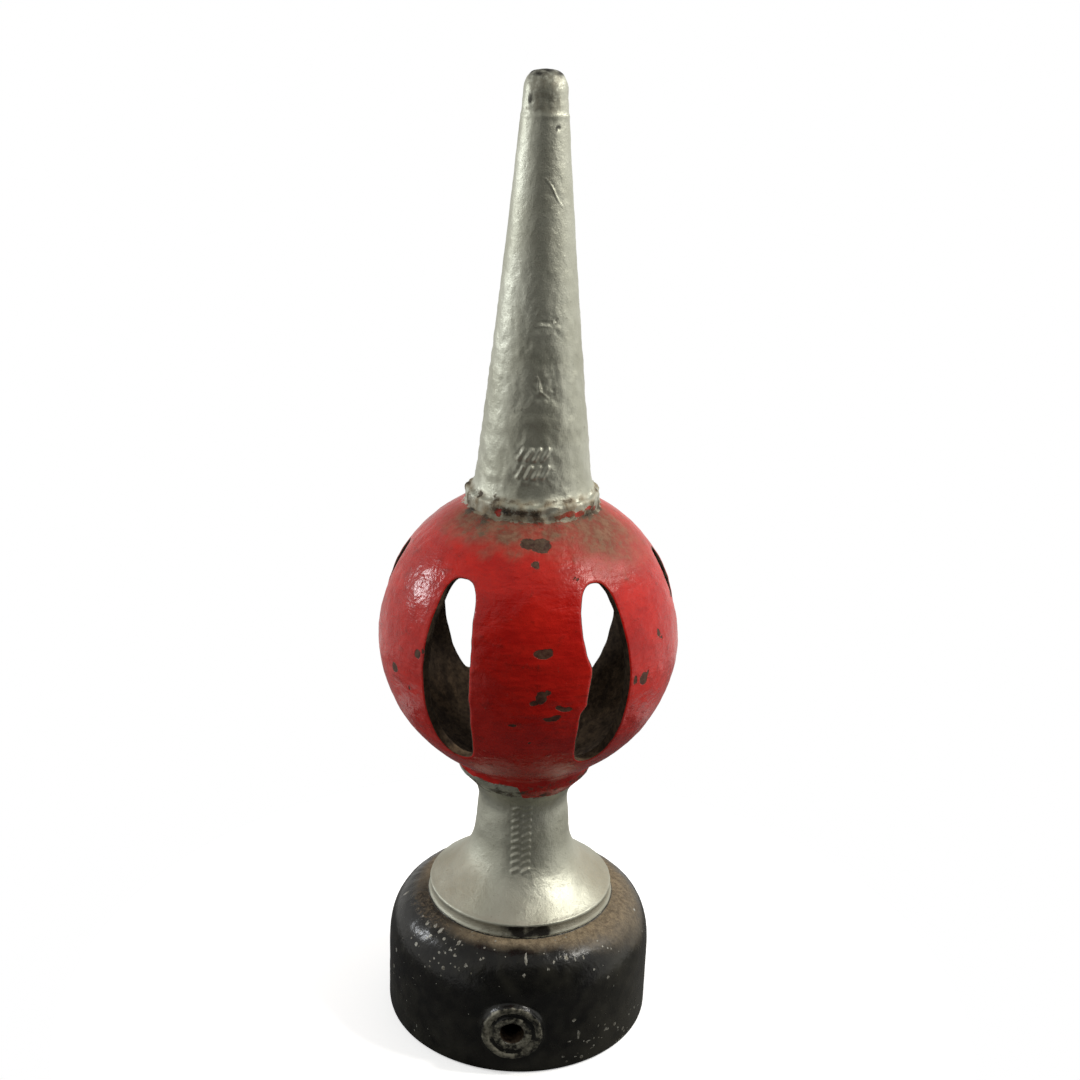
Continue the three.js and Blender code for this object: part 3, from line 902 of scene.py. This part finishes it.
# Places round the groove where dirt bridges it, and how wide they are, in radians
BRIDGES = ((3.05, 0.35), (-0.75, 0.4), (-3.2, 0.35))
bridged = sum(np.exp(-((TURN - at) / wide) ** 2) for at, wide in BRIDGES)
bare = np.where(RHO > 16.1, 0.66 + 0.16 * np.cos(TURN - 2.6), np.where(RHO > 13.5, 0.85 * bridged, 0.5))
bare = np.where(RHO < HOLE_R + 1.0, 0.4, bare)
bare = np.where(on_boss, bare, 0.0) * smooth(BOSS_R + 0.6, BOSS_R - 0.6, RHO)
# and dull worn paint on the front of the tip
bare += 0.54 * smooth(646, 650, Z) * smooth(74, 26, np.abs(turn_from(-4)) - 22 * smooth(662, 670, Z))
layers["bare"] = bare

mesh.vertices.foreach_set("co", (pos * MM).astype(np.float32).ravel())
mesh.attributes.remove(mesh.attributes["kind"])
for name, values in layers.items():
    attr = mesh.attributes.new(name, "FLOAT", "POINT")
    attr.data.foreach_set("value", np.asarray(values, dtype=np.float32))
for poly in mesh.polygons:
    poly.use_smooth = True
mesh.update()
finial = bpy.data.objects.new("finial", mesh)
bpy.context.scene.collection.objects.link(finial)

# Paint and iron


class Tree:
    """Short names for a material's nodes."""

    def __init__(self, tree):
        self.nodes, self.links = tree.nodes, tree.links

    def put(self, sock, val):
        if isinstance(val, bpy.types.NodeSocket):
            self.links.new(val, sock)
        else:
            sock.default_value = val

    def attr(self, name):
        n = self.nodes.new("ShaderNodeAttribute")
        n.attribute_name = name
        return n.outputs["Fac"]

    def math(self, op, a, b=0.0, c=0.0, clamp=False):
        n = self.nodes.new("ShaderNodeMath")
        n.operation = op
        n.use_clamp = clamp
        for sock, val in zip(n.inputs, (a, b, c)):
            self.put(sock, val)
        return n.outputs[0]

    def sum(self, *terms):
        out = terms[0]
        for t in terms[1:]:
            out = self.math("ADD", out, t)
        return out

    def scaled(self, value, k):
        return self.math("MULTIPLY", value, k)

    def step(self, value, low, high):
        n = self.nodes.new("ShaderNodeMapRange")
        n.interpolation_type = "SMOOTHSTEP"
        settings = {"Value": value, "From Min": low, "From Max": high, "To Min": 0.0, "To Max": 1.0}
        for key, val in settings.items():
            self.put(n.inputs[key], val)
        return n.outputs["Result"]

    def mix(self, fac, a, b, kind="RGBA"):
        n = self.nodes.new("ShaderNodeMix")
        n.data_type = kind
        # the node keeps a pair of inputs and a result for each kind of value
        first, result = (6, 2) if kind == "RGBA" else (2, 0)
        for sock, val in ((n.inputs[0], fac), (n.inputs[first], a), (n.inputs[first + 1], b)):
            self.put(sock, val)
        return n.outputs[result]

    def noise(self, vec, size_mm, detail=3.0, rough=0.55, distort=0.0):
        """Noise round zero, about -0.5 to 0.5."""
        n = self.nodes.new("ShaderNodeTexNoise")
        self.put(n.inputs["Vector"], vec)
        n.inputs["Scale"].default_value = 1000.0 / size_mm
        n.inputs["Detail"].default_value = detail
        n.inputs["Roughness"].default_value = rough
        n.inputs["Distortion"].default_value = distort
        return self.math("SUBTRACT", n.outputs["Fac"], 0.5)

    def dots(self, vec, apart_mm, amount):
        """Round dots of mixed sizes, more and larger ones where amount is higher."""
        n = self.nodes.new("ShaderNodeTexVoronoi")
        self.put(n.inputs["Vector"], vec)
        n.inputs["Scale"].default_value = 1000.0 / apart_mm
        pick = self.nodes.new("ShaderNodeSeparateColor")
        self.links.new(n.outputs["Color"], pick.inputs["Color"])
        over = self.sum(pick.outputs["Red"], amount, -1.0)
        radius = self.math("MINIMUM", self.scaled(over, 0.6), 0.24)
        return self.step(self.math("SUBTRACT", radius, n.outputs["Distance"]), 0.0, 0.06)


def colour(r, g, b):
    """A colour given as 0 to 255 screen values."""
    def lin(c):
        c /= 255
        return c / 12.92 if c <= 0.04045 else ((c + 0.055) / 1.055) ** 2.4

    return (lin(r), lin(g), lin(b), 1.0)


def painted_iron(name, specular):
    """Paint, wear and dirt over cast iron, with painted shade, a painted sheen and a painted dark reflection,
    from the fields on the mesh. Sizes are in millimetres.
    """
    mat = bpy.data.materials.new(name)
    mat.use_nodes = True
    t = Tree(mat.node_tree)
    bsdf = mat.node_tree.nodes["Principled BSDF"]
    coord = t.nodes.new("ShaderNodeTexCoord").outputs["Object"]
    stretch = t.nodes.new("ShaderNodeMapping")
    t.links.new(coord, stretch.inputs["Vector"])
    stretch.inputs["Scale"].default_value = (1.0, 1.0, 4.0)
    big = t.noise(coord, 34, 2.0)
    mid = t.noise(coord, 9, 3.0)
    small = t.noise(coord, 3.2, 3.0)
    tiny = t.noise(coord, 1.1, 3.0, 0.6)
    grain = t.noise(coord, 0.55, 2.0, 0.6)
    streak = t.noise(stretch.outputs["Vector"], 17, 3.0, 0.55, 0.6)

    ragged = t.sum(t.scaled(mid, 2.4), t.scaled(small, 2.2), t.scaled(tiny, 1.1))
    red = t.step(t.sum(t.attr("red"), ragged), -0.12, 0.12)
    black = t.step(t.sum(t.attr("black"), t.scaled(small, 1.8), t.scaled(tiny, 0.9)), -0.15, 0.15)
    hollow = t.step(t.attr("hollow"), -0.2, 0.2)
    chip = t.step(t.sum(t.attr("chip"), t.scaled(small, 3.0), t.scaled(tiny, 1.2)), -0.6, 0.1)
    nick = t.step(t.sum(t.attr("nick"), t.scaled(tiny, 0.9), t.scaled(grain, 0.4)), -0.35, 0.1)
    speckled = t.attr("speck")
    speck = t.math("MAXIMUM", t.dots(coord, 3.8, speckled), t.dots(coord, 7.2, t.scaled(speckled, 0.82)))
    pale = t.math("MAXIMUM", nick, speck)
    patchy = t.sum(1.0, t.scaled(mid, 0.6), t.scaled(small, 0.6), t.scaled(tiny, 0.25))
    dust_and_sheen = t.math("MULTIPLY", t.attr("dust_and_sheen"), patchy, clamp=True)
    # brown grime, and the painted shade under the collar's lip
    grime_and_painted_shade = t.step(t.sum(t.attr("grime_and_painted_shade"), t.scaled(small, 1.4), t.scaled(tiny, 0.8)), 0.3, 0.85)
    bare = t.sum(t.attr("bare"), t.scaled(mid, 0.4), t.scaled(small, 1.1), t.scaled(tiny, 0.3))
    bare = t.step(bare, 0.25, 0.75)
    # soot on the tip, and the painted dark reflection on the rim's front
    soot_and_painted_reflection = t.step(t.sum(t.attr("soot_and_painted_reflection"), t.scaled(small, 0.5), t.scaled(tiny, 0.3)), 0.1, 0.95)

    silver_col = t.mix(t.step(big, -0.25, 0.25), colour(177, 177, 161), colour(197, 198, 184))
    silver_col = t.mix(t.step(t.sum(small, tiny), 0.12, 0.5), silver_col, colour(150, 147, 132))
    red_col = t.mix(t.step(t.sum(big, streak), -0.3, 0.3), colour(184, 23, 17), colour(214, 37, 26))
    dark_streaks = t.step(t.sum(streak, t.scaled(mid, 0.7)), 0.0, 0.36)
    red_col = t.mix(t.scaled(dark_streaks, 0.6), red_col, colour(122, 14, 11))
    red_col = t.mix(t.scaled(t.step(t.sum(mid, small), 0.16, 0.5), 0.45), red_col, colour(104, 40, 30))
    black_col = t.mix(t.step(mid, -0.1, 0.3), colour(19, 19, 18), colour(34, 33, 29))
    tan = t.mix(t.step(t.sum(small, tiny), -0.3, 0.3), colour(128, 112, 88), colour(168, 151, 123))
    tan_on_red = t.mix(t.step(t.sum(mid, small), -0.3, 0.3), colour(92, 74, 56), colour(136, 114, 90))
    tan = t.mix(red, tan, tan_on_red)
    brown = t.mix(t.step(t.sum(small, tiny), -0.15, 0.32), colour(39, 33, 26), colour(108, 95, 76))
    iron = t.mix(t.step(small, -0.2, 0.2), colour(44, 35, 26), colour(84, 72, 55))
    inner = t.mix(t.step(t.sum(mid, small), -0.3, 0.3), colour(54, 43, 34), colour(94, 79, 63))
    inner = t.mix(t.scaled(dust_and_sheen, 0.7), inner, tan)
    worn = t.mix(t.step(t.sum(small, tiny), -0.25, 0.3), colour(104, 100, 88), colour(186, 185, 176))
    dull = t.mix(t.step(t.sum(mid, small), -0.25, 0.25), colour(84, 82, 71), colour(160, 157, 141))

    col = t.mix(red, silver_col, red_col)
    col = t.mix(black, col, black_col)
    col = t.mix(t.scaled(t.attr("film"), 0.5), col, colour(72, 70, 61))
    # tan dust, and on the socket's right shoulder a painted sheen
    col = t.mix(t.scaled(dust_and_sheen, 0.85), col, tan)
    # brown: grime, and the painted shade under the collar's lip
    col = t.mix(grime_and_painted_shade, col, brown)
    col = t.mix(t.scaled(chip, 0.93), col, iron)
    col = t.mix(pale, col, worn)
    col = t.mix(bare, col, dull)
    # near black: soot, and the rim's painted dark reflection
    col = t.mix(soot_and_painted_reflection, col, colour(30, 27, 23))
    col = t.mix(hollow, col, inner)
    t.put(bsdf.inputs["Base Color"], col)

    def number(silver, red_v, black_v, dust_and_sheen_v, dirt_and_shade_v, chip_v, nick_v, bare_v, inner_v):
        """A shader number that changes with the same masks as the colour."""
        v = t.mix(red, silver, red_v, "FLOAT")
        v = t.mix(black, v, black_v, "FLOAT")
        v = t.mix(dust_and_sheen, v, dust_and_sheen_v, "FLOAT")
        v = t.mix(grime_and_painted_shade, v, dirt_and_shade_v, "FLOAT")
        v = t.mix(chip, v, chip_v, "FLOAT")
        v = t.mix(pale, v, nick_v, "FLOAT")
        v = t.mix(bare, v, bare_v, "FLOAT")
        v = t.mix(t.scaled(soot_and_painted_reflection, 0.8), v, dirt_and_shade_v, "FLOAT")
        return t.mix(hollow, v, inner_v, "FLOAT")

    t.put(bsdf.inputs["Metallic"], number(0.8, 0.0, 0.0, 0.05, 0.0, 0.1, 0.4, 0.3, 0.0))
    rough = number(0.47, 0.25, 0.24, 0.8, 0.75, 0.6, 0.5, 0.5, 0.85)
    t.put(bsdf.inputs["Roughness"], t.sum(rough, t.scaled(mid, 0.12), t.scaled(tiny, 0.10)))
    bsdf.inputs["Specular IOR Level"].default_value = specular

    cast = t.sum(t.scaled(mid, 0.10), t.scaled(small, 0.28), t.scaled(tiny, 0.15), t.scaled(grain, 0.03))
    lumps = t.sum(t.scaled(streak, 0.30), t.scaled(mid, 0.82), t.scaled(small, 0.12), t.scaled(tiny, 0.014))
    glossy = t.sum(t.scaled(mid, 0.40), t.scaled(small, 0.26), t.scaled(tiny, 0.05))
    height = t.mix(black, t.mix(red, cast, lumps, "FLOAT"), glossy, "FLOAT")
    height = t.sum(height, t.scaled(red, 0.14), t.scaled(chip, -0.22), t.scaled(nick, -0.10),
                   t.scaled(speck, -0.06))
    rubble = t.math("MULTIPLY", t.math("MAXIMUM", grime_and_painted_shade, dust_and_sheen), t.sum(small, tiny))
    height = t.sum(height, t.scaled(rubble, 0.35), t.scaled(t.math("MULTIPLY", hollow, small), 0.4))
    bump = t.nodes.new("ShaderNodeBump")
    bump.inputs["Strength"].default_value = 1.0
    bump.inputs["Distance"].default_value = MM
    t.put(bump.inputs["Height"], height)
    t.put(bsdf.inputs["Normal"], bump.outputs["Normal"])
    return mat


for name, specular in (("upper_iron", 0.34), ("socket_iron", 0.38), ("hollow_iron", 0.2)):
    mesh.materials.append(painted_iron(name, specular))


def material_of(poly):
    kinds = {int(point_kind[v]) for v in poly.vertices}
    if kinds == {HOLLOW}:
        return 2
    return 1 if BLACK in kinds else 0


mesh.polygons.foreach_set("material_index", [material_of(p) for p in mesh.polygons])

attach(finial, "root")
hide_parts("finial_casting")

# Stage, light and camera

TABLE_R, TABLE_SIDES = 0.34, 96
# How bright the floor is to the object and to the camera, and how much the camera's is lifted
FLOOR_BOUNCE, FLOOR_SEEN, FLOOR_LIFT = 0.13, 0.9, 0.55
# Radii between which that lift sets in, so that the floor under the part keeps its shade
LIFT_FROM, LIFT_FULL = 0.088, 0.096

floor_mesh = bpy.data.meshes.new("floor")
rim = []
for i in range(TABLE_SIDES):
    a = 2 * math.pi * i / TABLE_SIDES
    rim.append((TABLE_R * math.cos(a), TABLE_R * math.sin(a), 0.0))
floor_mesh.from_pydata(rim, [], [tuple(range(TABLE_SIDES))])
floor = bpy.data.objects.new("floor", floor_mesh)
bpy.context.scene.collection.objects.link(floor)
floor_mat = bpy.data.materials.new("floor")
floor_mat.use_nodes = True
f = Tree(floor_mat.node_tree)
floor_bsdf = floor_mat.node_tree.nodes["Principled BSDF"]
seen = f.nodes.new("ShaderNodeLightPath").outputs["Is Camera Ray"]
bounced, looked_at = ((v, v, v, 1) for v in (FLOOR_BOUNCE, FLOOR_SEEN))
f.put(floor_bsdf.inputs["Base Color"], f.mix(seen, bounced, looked_at))
place = f.nodes.new("ShaderNodeVectorMath")
place.operation = "LENGTH"
f.links.new(f.nodes.new("ShaderNodeTexCoord").outputs["Object"], place.inputs[0])
open_floor = f.step(place.outputs["Value"], LIFT_FROM, LIFT_FULL)
f.put(floor_bsdf.inputs["Emission Strength"], f.math("MULTIPLY", f.scaled(seen, FLOOR_LIFT), open_floor))
floor_bsdf.inputs["Emission Color"].default_value = (1, 1, 1, 1)
floor_bsdf.inputs["Roughness"].default_value = 1.0
floor_bsdf.inputs["Specular IOR Level"].default_value = 0.0
floor_mesh.materials.append(floor_mat)

# Brightness of the studio by direction, as the object sees it. The camera sees plain white.
LEFT_LIGHT, RIGHT_LIGHT, TOP_LIGHT, FRONT_LIGHT = 0.66, 0.88, 0.42, 0.045
GAP_LIGHT, LOW_LIGHT, LOW_FRONT_LIGHT = 0.25, 0.85, 0.14
# Where each band starts and ends: sides in X, top in Z, behind in Y, gap and low in minus Z
SIDE_BAND, TOP_BAND, BEHIND_BAND = (-0.5, 0.5), (0.5, 0.9), (-0.4, 0.3)
GAP_BAND, LOW_BAND = (0.38, 0.46), (0.56, 0.62)
# The dark front: Y and X of its middle, and how squarely a direction meets that from lit to dark
FRONT_Y, FRONT_X, FRONT_BAND = -0.97, 0.22, (0.48, 0.76)
STUDIO_TINT = (1, 0.987, 0.945, 1)

world = bpy.data.worlds.new("studio")
bpy.context.scene.world = world
world.use_nodes = True
w = Tree(world.node_tree)
direction = w.nodes.new("ShaderNodeSeparateXYZ")
w.links.new(w.nodes.new("ShaderNodeTexCoord").outputs["Generated"], direction.inputs[0])
to_x, to_y, to_z = (direction.outputs[axis] for axis in "XYZ")
down = w.scaled(to_z, -1.0)
front = w.step(w.sum(w.scaled(to_y, FRONT_Y), w.scaled(to_x, FRONT_X)), *FRONT_BAND)
side = w.mix(w.step(to_x, *SIDE_BAND), LEFT_LIGHT, RIGHT_LIGHT, "FLOAT")
side = w.mix(w.step(to_z, *TOP_BAND), side, TOP_LIGHT, "FLOAT")
side = w.mix(w.step(down, *GAP_BAND), side, GAP_LIGHT, "FLOAT")
below = w.mix(w.step(to_y, *BEHIND_BAND), LOW_FRONT_LIGHT, LOW_LIGHT, "FLOAT")
side = w.mix(w.step(down, *LOW_BAND), side, below, "FLOAT")
studio = w.mix(front, side, FRONT_LIGHT, "FLOAT")
seen = w.nodes.new("ShaderNodeLightPath").outputs["Is Camera Ray"]
w.put(w.nodes["Background"].inputs["Strength"], w.mix(seen, studio, 1.0, "FLOAT"))
w.put(w.nodes["Background"].inputs["Color"], w.mix(seen, STUDIO_TINT, (1, 1, 1, 1)))

LIGHTS_AIM = Vector((0, 0, 0.28))


def softbox(name, azimuth, elevation, distance, width, height, power, tint):
    """A soft oval light: degrees round and up, metres away and across, watts."""
    light = bpy.data.lights.new(name, "AREA")
    light.shape = "ELLIPSE"
    light.size = width
    light.size_y = height
    light.energy = power
    light.color = tint
    obj = bpy.data.objects.new(name, light)
    a, e = math.radians(azimuth), math.radians(elevation)
    way = Vector((math.sin(a) * math.cos(e), -math.cos(a) * math.cos(e), math.sin(e)))
    obj.location = LIGHTS_AIM + way * distance
    obj.rotation_euler = way.to_track_quat("Z", "Y").to_euler()
    bpy.context.scene.collection.objects.link(obj)


softbox("softbox_left", -100, 18, 1.7, 0.18, 0.36, 7.5, (0.94, 0.97, 1.0))
softbox("softbox_right", 75, 46, 1.7, 0.20, 0.30, 12, (1.0, 0.97, 0.9))
softbox("softbox_far_right", 108, 38, 1.7, 0.20, 0.34, 6, (1.0, 0.98, 0.95))

# Camera, fitted to the photograph's circles
CAMERA_AT = (0.0060, -0.9684, 0.7076)
PITCH, ROLL = math.radians(19.46), math.radians(1.975)
LENS, SENSOR = 50.0, 36.0

cam_data = bpy.data.cameras.new("camera")
cam_data.lens = LENS
cam_data.sensor_width = SENSOR
cam_data.clip_start = 0.05
cam = bpy.data.objects.new("camera", cam_data)
bpy.context.scene.collection.objects.link(cam)
cam.location = CAMERA_AT
ahead = Vector((0, math.cos(PITCH), -math.sin(PITCH)))
above = Vector((0, math.sin(PITCH), math.cos(PITCH)))
across = Vector((1, 0, 0))
cam_right = across * math.cos(ROLL) + above * math.sin(ROLL)
cam_up = above * math.cos(ROLL) - across * math.sin(ROLL)
cam.rotation_euler = Matrix((cam_right, cam_up, -ahead)).transposed().to_euler()
bpy.context.scene.camera = cam
bpy.context.scene.view_settings.view_transform = "Standard"
